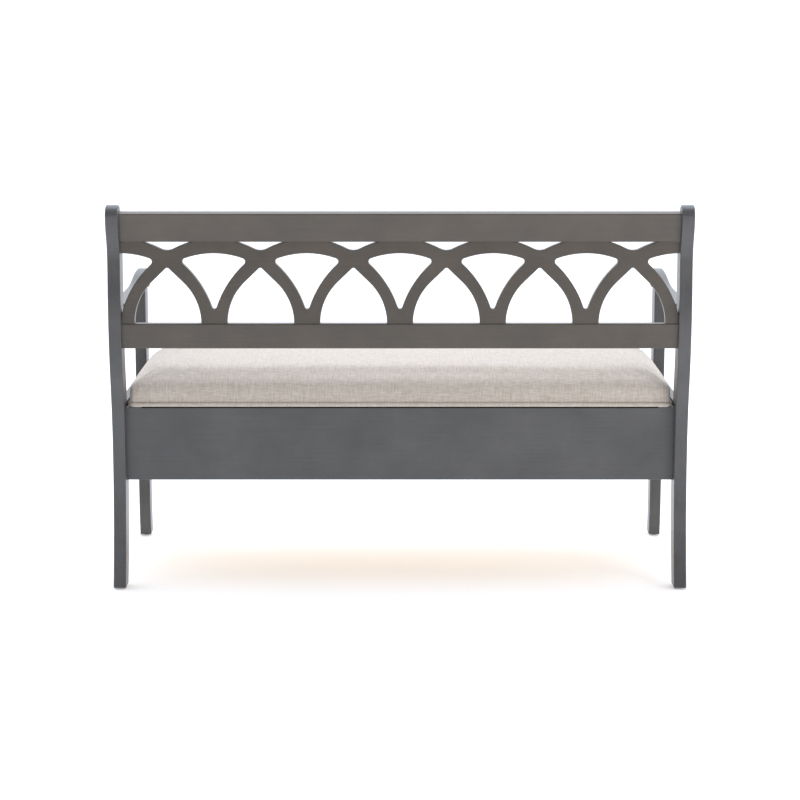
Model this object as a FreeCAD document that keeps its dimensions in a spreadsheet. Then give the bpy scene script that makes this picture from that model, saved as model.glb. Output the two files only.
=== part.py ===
import FreeCAD, Part
import math
import os
import re

import Sketcher

# Upholstered storage bench with a lattice back: a settle whose seat lifts on a rear
# continuous hinge and is carried, when open, by two slotted stays.
#
# Frame: millimetres, +Z up, the front faces -Y, the sitter's left is +X, and the origin is
# on the floor under the middle of the bench. "Forward" distances are measured from the
# back of the rear feet towards the front.

SIZES = {
    # overall
    "width": 1280, "depth": 514, "height": 862,
    # rear posts: extremes of the swept outline, as forward distance, height and depth
    "post_thickness": 28, "foot_depth": 43,
    "hollow_height": 308, "hollow_forward": 31.8, "hollow_depth": 52.5,
    "shoulder_rise": 11, "shoulder_forward": 3.7, "shoulder_depth": 50,
    "neck_drop": 120, "neck_forward": 8.2, "neck_depth": 48,
    "top_depth": 45, "top_curl": 11, "edge_easing": 2.5,
    # front legs
    "leg_thickness": 27, "leg_depth": 48, "leg_bend_height": 420,
    "ankle_height": 115, "ankle_forward": 18, "ankle_depth": 40,
    "toe_forward": 27, "toe_depth": 37, "glide_height": 3, "glide_diameter": 18,
    # arms
    "arm_thickness": 30, "arm_top": 639, "arm_under": 609, "arm_seat": 627,
    "arm_flat": 290, "nose_radius": 23, "nose_reach": 36, "nose_rise": 10, "arm_easing": 5,
    # rails of the back
    "rail_thickness": 21, "top_rail_height": 63, "top_rail_drop": 81, "top_rail_back": 11,
    "top_rail_lean": 12, "low_rail_height": 56, "low_rail_base": 544, "low_rail_back": 16,
    "low_rail_lean": 3.5, "rail_easing": 3,
    # lattice of crossing arches
    "lattice_thickness": 18, "lattice_back": 15, "arch_bays": 6, "arch_foot": 57.2,
    "crossing_web": 32.4, "crown_drop": 25.6, "fork_rise": 17.6, "top_flat": 49.1,
    "fork_lean": 13.32, "haunch_share": 0.89, "apex_round": 5, "fork_round": 5.3,
    "fan_round": 8, "lens_round": 30, "lattice_easing": 1.5,
    # joinery
    "tenon_length": 16, "tenon_inset": 5, "tenon_gap": 0.15, "seat_gap": 0.2,
    "housing": 7, "side_gap_rear": 3.7, "side_gap_front": 1, "dowel_diameter": 6,
    "dowel_bury": 12, "overrun": 1,
    # storage box
    "panel_thickness": 17, "panel_base": 239, "panel_top": 405, "rear_panel_back": 51.6,
    "panel_easing": 1.5, "front_panel_set": 12, "side_panel_set": 4, "floor_thickness": 9,
    "floor_gap": 1, "cleat_size": 18, "cleat_rise": 1, "cleat_end_gap": 2, "batten_width": 40,
    # lid, cushion and welt
    "lid_gap": 2.5, "board_thickness": 12, "side_clearance": 1.4, "welt_diameter": 8,
    "welt_gap": 0.6, "welt_lift": 0.3, "welt_proud": 1, "cushion_inset": 2.5,
    "cushion_gap": 0.3, "cushion_top": 487,
    "cushion_round": 28, "rear_corner": 16, "front_corner": 28, "lid_overhang": 2,
    "bumper_diameter": 10, "bumper_pitch": 500,
    # continuous hinge
    "knuckle_diameter": 4, "knuckle_pitch": 48, "knuckle_gap": 0.3, "knuckle_count": 12,
    "leaf_thickness": 1, "leaf_width": 13, "leaf_relief": 0.2, "tongue_lap": 0.5,
    "box_tongue": 1.3, "lid_tongue": 0.4, "axis_drop": 2.1, "axis_set": 2.2,
    "pin_diameter": 1.8, "pin_clearance": 0.05, "hinge_screw_pitch": 172,
    "hinge_screw_set": 2, "hinge_screw_depth": 9, "hinge_head": 4.6, "hinge_shank": 2.4,
    # slotted stays
    "stay_reach": 90, "stay_fixed_angle": -22, "stay_lid_angle": -5.7, "lid_travel": 55,
    "stay_thickness": 2.5, "stay_width": 14, "stay_plane": 10, "stay_slot_gap": 0.3,
    "stay_slot_spare": 2, "stay_side_gap": 0.5, "stay_pin_diameter": 5.4,
    "stay_pin_collar": 10.8, "stay_pin_head": 11.9,
    "rivet_diameter": 5, "rivet_head": 9, "rivet_head_height": 1.4, "bracket_thickness": 2,
    "bracket_length": 34, "bracket_width": 18, "bracket_screw_pitch": 20,
    "bracket_screw_set": 1,
    # screws of cleats and brackets
    "screw_head": 8, "screw_head_height": 2.5, "screw_shank": 4, "screw_grip": 10,
    "small_head": 6, "small_head_height": 1.5, "small_shank": 3, "small_grip": 9,
}

SIDES = ((1, "left"), (-1, "right"))

doc = FreeCAD.newDocument("StorageBench")
sheet = doc.addObject("Spreadsheet::Sheet", "Sizes")
for row, (alias, size) in enumerate(SIZES.items(), start=1):
    sheet.set(f"A{row}", alias)
    sheet.set(f"B{row}", str(size))
    sheet.setAlias(f"B{row}", alias)

probe = doc.addObject("App::FeaturePython", "Probe")
probe.addProperty("App::PropertyFloat", "Reading")
doc.recompute()

subparts = []


# ---------------------------------------------------------------- expressions

def bound(text):
    """The expression with each size's alias looked up in the sheet."""
    return re.sub(r"[a-z_]+", lambda word: f"Sizes.{word[0]}" if word[0] in SIZES else word[0],
                  str(text))


def number(text):
    """What an expression comes to with the sheet's present sizes."""
    probe.setExpression("Reading", bound(text))
    probe.recompute()
    return probe.Reading


def forward(text):
    """The Y of a distance measured forward from the back of the rear feet."""
    return f"(depth/2 - top_curl - ({text}))"


POST_INNER = "(width/2 - post_thickness)"
LEG_INNER = "(width/2 - leg_thickness)"
NOSE = "(depth - top_curl)"
LEG_FRONT = f"({NOSE} - nose_reach)"
LEG_BACK = f"({LEG_FRONT} - leg_depth)"
PANEL_FRONT = f"({LEG_FRONT} - front_panel_set)"
PANEL_INSIDE = f"({PANEL_FRONT} - panel_thickness)"
REAR_INSIDE = "(rear_panel_back + panel_thickness)"
SIDE_INNER = "(width/2 - side_panel_set - panel_thickness)"
SIDE_REAR = f"({REAR_INSIDE} + side_gap_rear)"
SIDE_FRONT = f"({PANEL_INSIDE} - side_gap_front)"
SHOULDER = "(arm_under + shoulder_rise)"
POST_FRONT = "(shoulder_forward + shoulder_depth)"
LOW_RAIL_TOP = "(low_rail_base + low_rail_height)"
TOP_RAIL_BASE = "(height - top_rail_drop)"
PITCH = f"({POST_INNER}*2/arch_bays)"
BOARD_BASE = "(panel_top + lid_gap)"
BOARD_TOP = f"({BOARD_BASE} + board_thickness)"
WELT_HEIGHT = f"({BOARD_BASE} + welt_lift + welt_diameter/2)"
ARM_INNER = "(width/2 - arm_thickness)"
WELT_HALF = f"(min({ARM_INNER}; {POST_INNER}) - side_clearance - welt_diameter/2)"
AXIS_FORWARD = "(rear_panel_back - axis_set)"
AXIS_HEIGHT = f"({BOARD_BASE} - axis_drop)"
WELT_REAR = f"({AXIS_FORWARD} + lid_overhang)"
WELT_FRONT = f"({LEG_FRONT} - welt_diameter/2 + welt_proud)"
CLEAT_BASE = "(panel_base + cleat_rise)"
FLOOR_BASE = f"({CLEAT_BASE} + cleat_size)"
HINGE_HALF = "(knuckle_pitch*knuckle_count)"
STAY_FACE = f"({POST_INNER} - stay_plane)"


# ---------------------------------------------------------------- outlines

class Outline:
    """A closed outline: corner points, each with the edge that leaves it."""

    def __init__(self):
        self.points = []

    def corner(self, across, up, radius=None, turn=0):
        """A point; the edge after it is straight, or an arc that turns left (1) or right (-1)."""
        self.points.append((across, up, radius, turn))
        return self

    def sway(self, start, end, upright=True):
        """From start, two equal arcs to end, both ends upright (or both level)."""
        run, rise = f"(({end[0]}) - ({start[0]}))", f"(({end[1]}) - ({start[1]}))"
        lean = math.copysign(1, number(run) * number(rise))
        offset = run if upright else rise
        turn = -lean if upright else lean
        radius = f"(({run})^2 + ({rise})^2)/(4*abs({offset}))"
        middle = (f"(({start[0]}) + ({end[0]}))/2", f"(({start[1]}) + ({end[1]}))/2")
        self.corner(*start, radius, turn)
        return self.corner(*middle, radius, -turn)

    def flare(self, start, end, upright_end):
        """From start, one arc to end that is upright at its start (0) or its end (1)."""
        run, rise = f"(({end[0]}) - ({start[0]}))", f"(({end[1]}) - ({start[1]}))"
        lean = math.copysign(1, number(run) * number(rise))
        radius = f"(({run})^2 + ({rise})^2)/(2*abs({run}))"
        return self.corner(*start, radius, lean if upright_end else -lean)


def polygon(*points):
    outline = Outline()
    for across, up in points:
        outline.corner(across, up)
    return outline


def rectangle(left, right, low, high):
    return polygon((left, low), (right, low), (right, high), (left, high))


def rounded_plan(half, rear, front, rear_radius, front_radius):
    """A plan outline with quarter-round corners, started at the middle of the rear edge."""
    outline = Outline()
    outline.corner("0", rear)
    outline.corner(f"-({half}) + {rear_radius}", rear, rear_radius, 1)
    outline.corner(f"-({half})", f"{rear} - {rear_radius}")
    outline.corner(f"-({half})", f"{front} + {front_radius}", front_radius, 1)
    outline.corner(f"-({half}) + {front_radius}", front)
    outline.corner(f"{half} - {front_radius}", front, front_radius, 1)
    outline.corner(half, f"{front} + {front_radius}")
    outline.corner(half, f"{rear} - {rear_radius}", rear_radius, 1)
    return outline.corner(f"{half} - {rear_radius}", rear)


def fix_point(sketch, geometry, point, across, up):
    for kind, place in (("DistanceX", across), ("DistanceY", up)):
        index = sketch.addConstraint(
            Sketcher.Constraint(kind, -1, 1, geometry, point, number(place)))
        sketch.setExpression(f"Constraints[{index}]", bound(place))


def fix_radius(sketch, geometry, radius):
    index = sketch.addConstraint(Sketcher.Constraint("Radius", geometry, number(radius)))
    sketch.setExpression(f"Constraints[{index}]", bound(radius))


def arc_between(start, end, radius, turn):
    """The short arc from start to end that turns left (1) or right (-1)."""
    chord = end - start
    to_centre = FreeCAD.Vector(-chord.y, chord.x, 0).normalize() * turn
    reach = math.sqrt(max(radius ** 2 - (chord.Length / 2) ** 2, 0))
    centre = (start + end) / 2 + to_centre * reach
    first, last = (start, end) if turn > 0 else (end, start)
    angles = [math.atan2(place.y - centre.y, place.x - centre.x) for place in (first, last)]
    circle = Part.Circle(centre, FreeCAD.Vector(0, 0, 1), radius)
    return Part.ArcOfCircle(circle, *angles)


def draw_outline(sketch, outline):
    corners = [FreeCAD.Vector(number(p[0]), number(p[1]), 0) for p in outline.points]
    edges = []
    for i, (across, up, radius, turn) in enumerate(outline.points):
        start, end = corners[i], corners[(i + 1) % len(corners)]
        if radius is None:
            edges.append((sketch.addGeometry(Part.LineSegment(start, end)), 1, 2))
        else:
            geometry = sketch.addGeometry(arc_between(start, end, number(radius), turn))
            edges.append((geometry, 1, 2) if turn > 0 else (geometry, 2, 1))
    for i, (geometry, start, end) in enumerate(edges):
        following = edges[(i + 1) % len(edges)]
        sketch.addConstraint(
            Sketcher.Constraint("Coincident", geometry, end, following[0], following[1]))
    for (across, up, radius, turn), (geometry, start, end) in zip(outline.points, edges):
        fix_point(sketch, geometry, start, across, up)
        if radius is not None:
            fix_radius(sketch, geometry, radius)


def draw_circle(sketch, across, up, radius):
    centre = FreeCAD.Vector(number(across), number(up), 0)
    circle = Part.Circle(centre, FreeCAD.Vector(0, 0, 1), number(radius))
    geometry = sketch.addGeometry(circle)
    fix_point(sketch, geometry, 3, across, up)
    fix_radius(sketch, geometry, radius)


# ---------------------------------------------------------------- features of a body

def new_body(label):
    body = doc.addObject("PartDesign::Body", label)
    body.Label = label
    subparts.append(body)
    return body


def new_sketch(body, plane, shapes, level):
    """A sketch on the body's own plane, lifted by level along the plane's normal."""
    support = next(f for f in body.Origin.OriginFeatures if f.Role == plane)
    sketch = body.newObject("Sketcher::SketchObject", "Sketch")
    sketch.AttachmentSupport = [(support, "")]
    sketch.MapMode = "FlatFace"
    sketch.AttachmentOffset = FreeCAD.Placement(FreeCAD.Vector(0, 0, number(level)),
                                                FreeCAD.Rotation())
    sketch.setExpression("AttachmentOffset.Base.z", bound(level))
    for shape in shapes:
        if isinstance(shape, Outline):
            draw_outline(sketch, shape)
        else:
            draw_circle(sketch, *shape)
    return sketch


def pad(body, plane, shapes, start, length):
    """Material from start to start + length along the plane's normal."""
    feature = body.newObject("PartDesign::Pad", "Pad")
    feature.Profile = new_sketch(body, plane, shapes, start)
    feature.setExpression("Length", bound(length))
    body.Tip = feature
    return feature


def pocket(body, plane, shapes, start, length):
    """A recess from start to start + length along the plane's normal."""
    feature = body.newObject("PartDesign::Pocket", "Pocket")
    feature.Profile = new_sketch(body, plane, shapes, f"({start}) + ({length})")
    feature.setExpression("Length", bound(length))
    body.Tip = feature
    return feature


def ease(body, radius, chosen):
    """Rounds the edges of the body's last feature that chosen accepts."""
    doc.recompute()
    base = body.Tip
    names = [f"Edge{i}" for i, edge in enumerate(base.Shape.Edges, start=1) if chosen(edge)]
    feature = body.newObject("PartDesign::Fillet", "Fillet")
    feature.Base = (base, names)
    feature.setExpression("Radius", bound(radius))
    body.Tip = feature
    return feature


def repeat(body, feature, pitch, count):
    """The feature repeated along +X."""
    axis = next(f for f in body.Origin.OriginFeatures if f.Role == "X_Axis")
    pattern = body.newObject("PartDesign::LinearPattern", "Pattern")
    pattern.Originals = [feature]
    pattern.Direction = (axis, [""])
    pattern.setExpression("Length", bound(f"({pitch})*(({count}) - 1)"))
    pattern.setExpression("Occurrences", bound(count))
    body.Tip = pattern
    return pattern


def lies_along(edge, axis):
    """True for a straight edge parallel to a coordinate axis (0, 1 or 2)."""
    span = edge.Vertexes[-1].Point - edge.Vertexes[0].Point
    return edge.Length > 0 and abs(abs(span[axis]) - edge.Length) < 1e-6


def flat_in_x(edge):
    box = edge.BoundBox
    return box.XLength < 1e-6


def side_start(side, inner, thickness):
    """Where a piece that starts at inner, mirrored to its side, begins along +X."""
    return inner if side > 0 else f"-({inner}) - ({thickness})"


# ---------------------------------------------------------------- turned pieces

def cylinder(name, radius, length, place, direction):
    """A Part cylinder whose axis starts at place and runs along direction."""
    piece = doc.addObject("Part::Cylinder", name)
    piece.Placement = FreeCAD.Placement(
        FreeCAD.Vector(), FreeCAD.Rotation(FreeCAD.Vector(0, 0, 1), FreeCAD.Vector(*direction)))
    piece.setExpression("Radius", bound(radius))
    piece.setExpression("Height", bound(length))
    for axis, value in zip("xyz", place):
        piece.setExpression(f"Placement.Base.{axis}", bound(value))
    return piece


def fused(name, pieces):
    whole = doc.addObject("Part::MultiFuse", name)
    whole.Shapes = pieces
    return whole


def group(label, pieces):
    """One node for identical pieces that stay separate solids."""
    node = doc.addObject("Part::Compound", label)
    node.Label = label
    node.Links = pieces
    subparts.append(node)


def screw(name, place, direction, head, head_height, shank, length):
    """A screw whose head starts at place and whose shank runs along direction."""
    parts = [cylinder(f"{name}_head", f"{head}/2", head_height, place, direction),
             cylinder(f"{name}_shank", f"{shank}/2", f"{head_height} + ({length})", place,
                      direction)]
    return fused(name, parts)


def plank(label, left, right, rear, front, low, high):
    """A plain board between forward distances rear and front."""
    board = doc.addObject("Part::Box", label)
    board.Label = label
    board.setExpression("Length", bound(f"({right}) - ({left})"))
    board.setExpression("Width", bound(f"({front}) - ({rear})"))
    board.setExpression("Height", bound(f"({high}) - ({low})"))
    board.setExpression("Placement.Base.x", bound(left))
    board.setExpression("Placement.Base.y", bound(forward(front)))
    board.setExpression("Placement.Base.z", bound(low))
    subparts.append(board)
    return board


# ---------------------------------------------------------------- sections shared by joints

def rail_section(back, low, high, lean, inset="0", slope="0"):
    """A leaning rail's section; inset shrinks it to a tenon, slope lifts its front top edge."""
    shift = f"(({high}) - ({low}))*tan({lean})"
    rear_low = f"({back} + {inset})"
    front_low = f"({back} + rail_thickness - {inset})"
    return polygon(
        (forward(rear_low), f"{low} + {inset}"),
        (forward(front_low), f"{low} + {inset}"),
        (forward(f"{front_low} - {shift}"), f"{high} - {inset} + {slope}"),
        (forward(f"{rear_low} - {shift}"), f"{high} - {inset}"))


TOP_RAIL = ("top_rail_back", TOP_RAIL_BASE, f"({TOP_RAIL_BASE} + top_rail_height)",
            "top_rail_lean")
LOW_RAIL = ("low_rail_back", "low_rail_base", LOW_RAIL_TOP, "low_rail_lean")


def arm_tenon(gap="0"):
    """The arm's rear tenon in its side view."""
    return rectangle(forward(f"{POST_FRONT} + overrun"),
                     forward(f"{POST_FRONT} - tenon_length - {gap}"),
                     f"arm_under + tenon_inset - {gap}", f"arm_top - tenon_inset + {gap}")


def leg_tenon(gap="0"):
    """The front leg's top tenon in its side view."""
    return rectangle(forward(f"{LEG_FRONT} - 2*tenon_inset + {gap}"),
                     forward(f"{LEG_BACK} + 2*tenon_inset - {gap}"),
                     "arm_seat - overrun", f"arm_seat + tenon_length + {gap}")


def side_panel_outline(gap="0"):
    return rectangle(forward(f"{SIDE_FRONT} + {gap}"), forward(f"{SIDE_REAR} - {gap}"),
                     f"panel_base - {gap}", f"panel_top + {gap}")


def cross_panel_outline(rear, front, gap="0"):
    return rectangle(forward(f"{front} + {gap}"), forward(f"{rear} - {gap}"),
                     f"panel_base - {gap}", f"panel_top + {gap}")


# ---------------------------------------------------------------- rear posts

def post_outline():
    """Foot swept back, hollow, shoulder, neck and a curled, round top."""
    curl_height = "(height - top_depth/2)"
    backs = [("hollow_forward", "hollow_height"), ("shoulder_forward", SHOULDER),
             ("neck_forward", "(height - neck_drop)"), ("-top_curl", curl_height)]
    depths = ["hollow_depth", "shoulder_depth", "neck_depth", "top_depth"]
    back = [(forward(place), level) for place, level in backs]
    front = [(forward(f"{place} + {size}"), level)
             for (place, level), size in zip(backs, depths)]
    crown = (forward("top_depth/2 - top_curl"), "height")
    outline = Outline()
    outline.flare((forward("0"), "glide_height"), back[0], upright_end=True)
    for start, end in zip(back, back[1:]):
        outline.sway(start, end)
    outline.corner(*back[-1], "top_depth/2", 1)
    outline.corner(*crown, "top_depth/2", 1)
    for start, end in zip(front[::-1], front[-2::-1]):
        outline.sway(start, end)
    heel_front = (forward("foot_depth"), "glide_height")
    outline.flare(front[0], heel_front, upright_end=False)
    return outline.corner(*heel_front)


def rear_post(side, label):
    body = new_body(label)
    pad(body, "YZ_Plane", [post_outline()], side_start(side, POST_INNER, "post_thickness"),
        "post_thickness")
    foot = number("glide_height")
    ease(body, "edge_easing",
         lambda edge: flat_in_x(edge) or edge.BoundBox.ZMax < foot + 0.1)
    mortises = [rail_section(*TOP_RAIL, inset="(tenon_inset - tenon_gap)"),
                rail_section(*LOW_RAIL, inset="(tenon_inset - tenon_gap)")]
    depth = "tenon_length + tenon_gap"
    pocket(body, "YZ_Plane", mortises, side_start(side, POST_INNER, depth), depth)
    depth = "housing + tenon_gap"
    pocket(body, "YZ_Plane",
           [cross_panel_outline("rear_panel_back", REAR_INSIDE, "tenon_gap")],
           side_start(side, POST_INNER, depth), depth)
    groove = "panel_thickness + 2*tenon_gap"
    pocket(body, "YZ_Plane", [side_panel_outline("tenon_gap")],
           side_start(side, f"{SIDE_INNER} - tenon_gap", groove), groove)
    cheek = "arm_thickness/2 + 2*tenon_gap"
    pocket(body, "YZ_Plane", [arm_tenon("tenon_gap")],
           side_start(side, "width/2 - 3*arm_thickness/4 - tenon_gap", cheek), cheek)


# ---------------------------------------------------------------- front legs

def leg_outline():
    """Straight below the arm, then a saber sweep forward to the toe."""
    bend = f"({LEG_BACK} + ankle_forward)"
    toe = f"({LEG_BACK} + toe_forward)"
    outline = Outline()
    outline.flare((forward(toe), "glide_height"), (forward(bend), "ankle_height"),
                  upright_end=True)
    outline.sway((forward(bend), "ankle_height"), (forward(LEG_BACK), "leg_bend_height"))
    outline.corner(forward(LEG_BACK), "leg_bend_height")
    outline.corner(forward(LEG_BACK), "arm_seat")
    outline.corner(forward(LEG_FRONT), "arm_seat")
    outline.sway((forward(LEG_FRONT), "leg_bend_height"),
                 (forward(f"{bend} + ankle_depth"), "ankle_height"))
    toe_front = (forward(f"{toe} + toe_depth"), "glide_height")
    outline.flare((forward(f"{bend} + ankle_depth"), "ankle_height"), toe_front,
                  upright_end=False)
    return outline.corner(*toe_front)


def front_leg(side, label):
    body = new_body(label)
    pad(body, "YZ_Plane", [leg_outline()], side_start(side, LEG_INNER, "leg_thickness"),
        "leg_thickness")
    foot, seat = number("glide_height"), number("arm_seat")
    ease(body, "edge_easing",
         lambda edge: (flat_in_x(edge) and edge.BoundBox.ZMin < seat - 1)
         or edge.BoundBox.ZMax < foot + 0.1)
    pad(body, "YZ_Plane", [leg_tenon()],
        side_start(side, "width/2 - 3*leg_thickness/4", "leg_thickness/2"), "leg_thickness/2")
    depth = "housing + tenon_gap"
    pocket(body, "YZ_Plane", [cross_panel_outline(PANEL_INSIDE, PANEL_FRONT, "tenon_gap")],
           side_start(side, LEG_INNER, depth), depth)
    groove = "panel_thickness + 2*tenon_gap"
    pocket(body, "YZ_Plane", [side_panel_outline("tenon_gap")],
           side_start(side, f"{SIDE_INNER} - tenon_gap", groove), groove)


# ---------------------------------------------------------------- arms

def arm_outline():
    """A flat arm that rises to a round nose hooked over the front of the leg."""
    rear = forward(f"{POST_FRONT} + seat_gap")
    nose = forward(f"{NOSE} - nose_radius")
    middle = "(arm_seat + nose_rise)"
    crest = f"({middle} + nose_radius)"
    hook = f"({NOSE} - nose_radius - {LEG_FRONT})"
    hook_rise = f"({middle} - sqrt(nose_radius^2 - {hook}^2))"
    outline = Outline()
    outline.corner(rear, "arm_top")
    outline.sway((forward("arm_flat"), "arm_top"), (nose, crest), upright=False)
    outline.corner(nose, crest, "nose_radius", 1)
    outline.corner(forward(NOSE), middle, "nose_radius", 1)
    outline.corner(nose, f"{middle} - nose_radius", "nose_radius", 1)
    outline.corner(forward(LEG_FRONT), hook_rise)
    outline.corner(forward(LEG_FRONT), "arm_seat")
    outline.sway((forward(LEG_BACK), "arm_seat"), (forward("arm_flat"), "arm_under"),
                 upright=False)
    outline.corner(forward("arm_flat"), "arm_under")
    return outline.corner(rear, "arm_under")


def arm(side, label):
    body = new_body(label)
    pad(body, "YZ_Plane", [arm_outline()],
        side_start(side, ARM_INNER, "arm_thickness"), "arm_thickness")
    seat = number("arm_seat")
    socket = sorted((number(forward(LEG_FRONT)), number(forward(LEG_BACK))))

    def exposed(edge):
        box = edge.BoundBox
        over_leg = box.YMin > socket[0] - 0.1 and box.YMax < socket[1] + 0.1
        return flat_in_x(edge) and not (over_leg and box.ZMax < seat + 0.1)

    ease(body, "arm_easing", exposed)
    pad(body, "YZ_Plane", [arm_tenon()],
        side_start(side, "width/2 - 3*arm_thickness/4", "arm_thickness/2"), "arm_thickness/2")
    cheek = "leg_thickness/2 + 2*tenon_gap"
    pocket(body, "YZ_Plane", [leg_tenon("tenon_gap")],
           side_start(side, "width/2 - 3*leg_thickness/4 - tenon_gap", cheek), cheek)


# ---------------------------------------------------------------- back: rails and lattice

def cross_rail(label, section, slope):
    """A leaning rail between the posts with a tenon at each end."""
    body = new_body(label)
    pad(body, "YZ_Plane", [rail_section(*section, slope=slope)], f"-{POST_INNER}",
        f"2*{POST_INNER}")
    ease(body, "rail_easing", lambda edge: lies_along(edge, 0))
    half = f"({POST_INNER} + tenon_length)"
    pad(body, "YZ_Plane", [rail_section(*section, inset="tenon_inset")], f"-{half}",
        f"2*{half}")
    return body


def dowel_places():
    """Across the back, under each whole arch."""
    bays = round(number("arch_bays"))
    return [f"{PITCH}*({i - bays // 2})" for i in range(1, bays)]


DOWEL_LINE = forward("lattice_back + lattice_thickness/2")


def dowel_holes():
    return [(place, DOWEL_LINE, "dowel_diameter/2") for place in dowel_places()]


HALF_BAY = f"({PITCH}/2)"
FORK = f"({LOW_RAIL_TOP} + fork_rise)"
BAND_RUN, BAND_RISE = f"({PITCH} - top_flat)", f"({TOP_RAIL_BASE} - {FORK})"
BAND_RADIUS = (f"(({BAND_RUN}^2 + {BAND_RISE}^2)"
               f"/(2*({BAND_RUN}*cos(fork_lean) - {BAND_RISE}*sin(fork_lean))))")
CROSSING = (f"({FORK} - {BAND_RADIUS}*sin(fork_lean)"
            f" + sqrt({BAND_RADIUS}^2 - ({BAND_RADIUS}*cos(fork_lean) - {HALF_BAY})^2))")
APEX = f"({CROSSING} - crossing_web)"


def arch_outline():
    """One arch: a bowed outer band edge over an inner arch whose haunches run straight to
    the apex, with its feet on the rail."""
    base, top = LOW_RAIL_TOP, TOP_RAIL_BASE
    span = f"({PITCH} - arch_foot/2)"
    inner, rise = f"({span} - {HALF_BAY})", f"({APEX} - {base})"
    haunch = f"(haunch_share*({inner}^2 + {rise}^2)/(2*{inner}))"
    run = f"({haunch} - {inner})"
    rake = f"(atan2({rise}; {run}) - acos({haunch}/sqrt({run}^2 + {rise}^2)))"
    knee = f"({span} - {haunch}*(1 - cos({rake})))"
    knee_level = f"({base} + {haunch}*sin({rake}))"
    crown_rise = f"({top} - crown_drop - {APEX})"
    crown_arc = f"({HALF_BAY}^2 + {crown_rise}^2)/(2*{crown_rise})"
    outline = Outline()
    outline.corner(PITCH, base).corner(PITCH, FORK, BAND_RADIUS, 1)
    outline.corner("top_flat", top).corner("-top_flat", top, BAND_RADIUS, 1)
    outline.corner(f"-{PITCH}", FORK).corner(f"-{PITCH}", base)
    outline.corner(f"-{span}", base, haunch, -1).corner(f"-{knee}", knee_level)
    outline.corner(f"-{HALF_BAY}", APEX, crown_arc, -1).corner(HALF_BAY, APEX)
    outline.corner(knee, knee_level, haunch, -1)
    return outline.corner(span, base)


def back_lattice():
    """Crossing arches, repeated along the back and trimmed between the posts."""
    body = new_body("back_lattice")
    start = "(lattice_back - depth/2 + top_curl)"
    centred = arch_outline()
    shift = f"-{PITCH}*arch_bays/2"
    centred.points = [(f"{shift} + {point[0]}", *point[1:]) for point in centred.points]
    arch = pad(body, "XZ_Plane", [centred], start, "lattice_thickness")
    repeat(body, arch, PITCH, "arch_bays + 1")
    low, high = f"({LOW_RAIL_TOP} - overrun)", f"({TOP_RAIL_BASE} + overrun)"
    trims = [rectangle(POST_INNER, f"{POST_INNER} + 2*{PITCH}", low, high),
             rectangle(f"-{POST_INNER} - 2*{PITCH}", f"-{POST_INNER}", low, high)]
    pocket(body, "XZ_Plane", trims, start, "lattice_thickness")
    ease_lattice(body)
    ease(body, "lattice_easing", lattice_rim)
    for level in (LOW_RAIL_TOP, f"{TOP_RAIL_BASE} - dowel_bury"):
        pocket(body, "XY_Plane", dowel_holes(), level, "dowel_bury")


def lattice_rim(edge):
    """An edge of the lattice's front or back that touches neither a rail nor a post."""
    box = edge.BoundBox
    between_rails = (box.ZMax > number(LOW_RAIL_TOP) + 0.1
                     and box.ZMin < number(TOP_RAIL_BASE) - 0.1)
    return box.YLength < 1e-6 and between_rails and box.XLength > 1e-6


def ease_lattice(body):
    """Rounds the sharp corners of the openings, each kind by its own radius."""
    pitch, half = number(PITCH), number(POST_INNER)
    base, top = number(LOW_RAIL_TOP), number(TOP_RAIL_BASE)
    fork, apex = number(FORK), number(APEX)

    def corner(edge, on_axis, low, high):
        """An upright-faced corner whose place along the back is (or isn't) on a pitch line."""
        place = edge.Vertexes[0].Point
        offset = abs(place.x / pitch - round(place.x / pitch)) * pitch
        between = abs(offset - pitch / 2)
        nearness = {"pitch": offset, "bay": between}.get(on_axis, 0)
        aside = on_axis == "aside" and min(offset, between) > 1
        fits = aside or (on_axis != "aside" and nearness < 0.5)
        inside = abs(place.x) < half - 1
        return lies_along(edge, 1) and inside and fits and low < place.z < high

    ease(body, "lens_round", lambda edge: corner(edge, "bay", apex + 5, top - 1))
    ease(body, "apex_round", lambda edge: corner(edge, "bay", base + 5, apex + 5))
    ease(body, "fork_round", lambda edge: corner(edge, "pitch", base + 5, fork + 1))
    ease(body, "fan_round", lambda edge: corner(edge, "aside", apex, top - 1))


# ---------------------------------------------------------------- storage box

def across(count, pitch):
    """Places in a row centred on the middle plane."""
    return [f"({i - (count - 1) / 2})*({pitch})" for i in range(count)]


CLEAT_LEVEL = f"({CLEAT_BASE} + cleat_size/2)"
HINGE_LINE = "(rear_panel_back + leaf_width/2 + hinge_screw_set)"
STAY_PIN = (f"({AXIS_FORWARD} + stay_reach*cos(stay_fixed_angle))",
            f"({AXIS_HEIGHT} + stay_reach*sin(stay_fixed_angle))")
STAY_PIVOT = (f"({AXIS_FORWARD} + stay_reach*cos(stay_lid_angle))",
              f"({AXIS_HEIGHT} + stay_reach*sin(stay_lid_angle))")
CROSS_CLEAT_SCREWS = across(5, "width/6")
SIDE_CLEAT_SCREWS = [forward(f"({LEG_BACK} + {REAR_INSIDE})/2 + ({place})")
                     for place in across(3, "depth/5")]
HINGE_SCREWS = across(7, "hinge_screw_pitch")


def hinge_holes(radius):
    return [(place, forward(HINGE_LINE), radius) for place in HINGE_SCREWS]


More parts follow.
